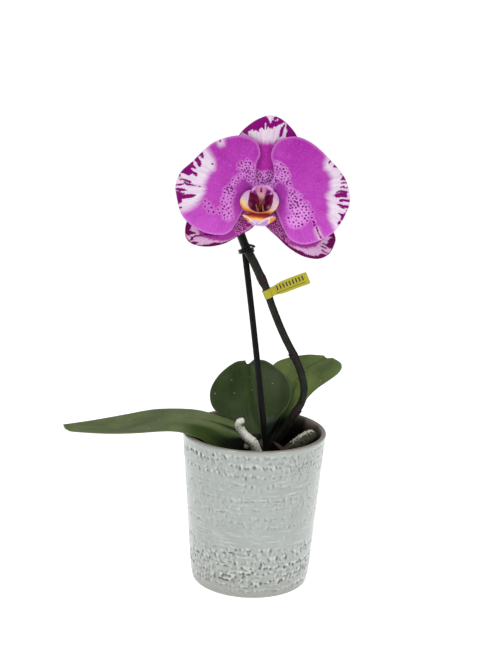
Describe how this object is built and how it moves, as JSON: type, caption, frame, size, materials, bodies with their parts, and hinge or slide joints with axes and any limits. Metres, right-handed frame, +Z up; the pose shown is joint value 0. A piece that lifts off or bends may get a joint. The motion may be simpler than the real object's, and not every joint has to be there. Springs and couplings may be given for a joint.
{
  "type": "potted orchid",
  "caption": "Potted moth orchid: an open bloom on a staked stem, broad leaves and air roots, in a round glazed cover pot.",
  "frame": {"origin": "centre of the cover pot's flat underside", "axes": "+Z up along the pot's axis; the bloom faces -Y and +X is to the right as seen from the front"},
  "size_m": [0.2553, 0.1387, 0.4271],
  "materials": {
    "pot_glaze": "pale grey-green glaze over a woven-cloth relief, glossy",
    "pot_plastic": "thin smoky plastic",
    "bark": "dry pine bark chips, matte",
    "trunk": "short orchid trunk, matte",
    "leaf_grey_green": "thick leaf, waxy, grey-green, brighter at its base",
    "leaf_dark_green": "thick leaf, waxy, dark bluish green",
    "leaf_mid_green": "thick leaf, waxy, mid green",
    "stem": "smooth olive-black stem with purple-brown nodes",
    "stake_plastic": "ribbed near-black plastic",
    "clip_plastic": "black plastic clip",
    "label_film": "yellow printed film, unlettered",
    "root_silver": "silvery dry root skin",
    "root_mossy": "root skin with green-brown growth",
    "sheath": "dry reddish leaf sheath",
    "sepal": "satin petal tissue, magenta with white band and dark margin",
    "petal": "satin petal tissue, pink-magenta with white, dark-flamed outer margin",
    "lip": "waxy lip, white and yellow outside, dark purple inside",
    "column": "waxy pink column"
  },
  "bodies": {
    "root": {"cover_pot": "pot_glaze", "grow_pot": "pot_plastic", "bark_mix": "bark", "root_crown": "trunk", "leaf_left": "leaf_grey_green", "leaf_centre": "leaf_dark_green", "leaf_right": "leaf_mid_green", "flower_stem": "stem", "support_stake": "stake_plastic", "stem_tie": "clip_plastic", "label_tag": "label_film", "root_pale": "root_silver", "root_mossy": "root_mossy", "root_inner_a": "root_silver", "root_inner_b": "root_silver", "dry_sheath": "sheath", "sepal_dorsal": "sepal", "sepal_left": "sepal", "sepal_right": "sepal", "petal_left": "petal", "petal_right": "petal", "lip": "lip", "column": "column"}
  },
  "joints": []
}
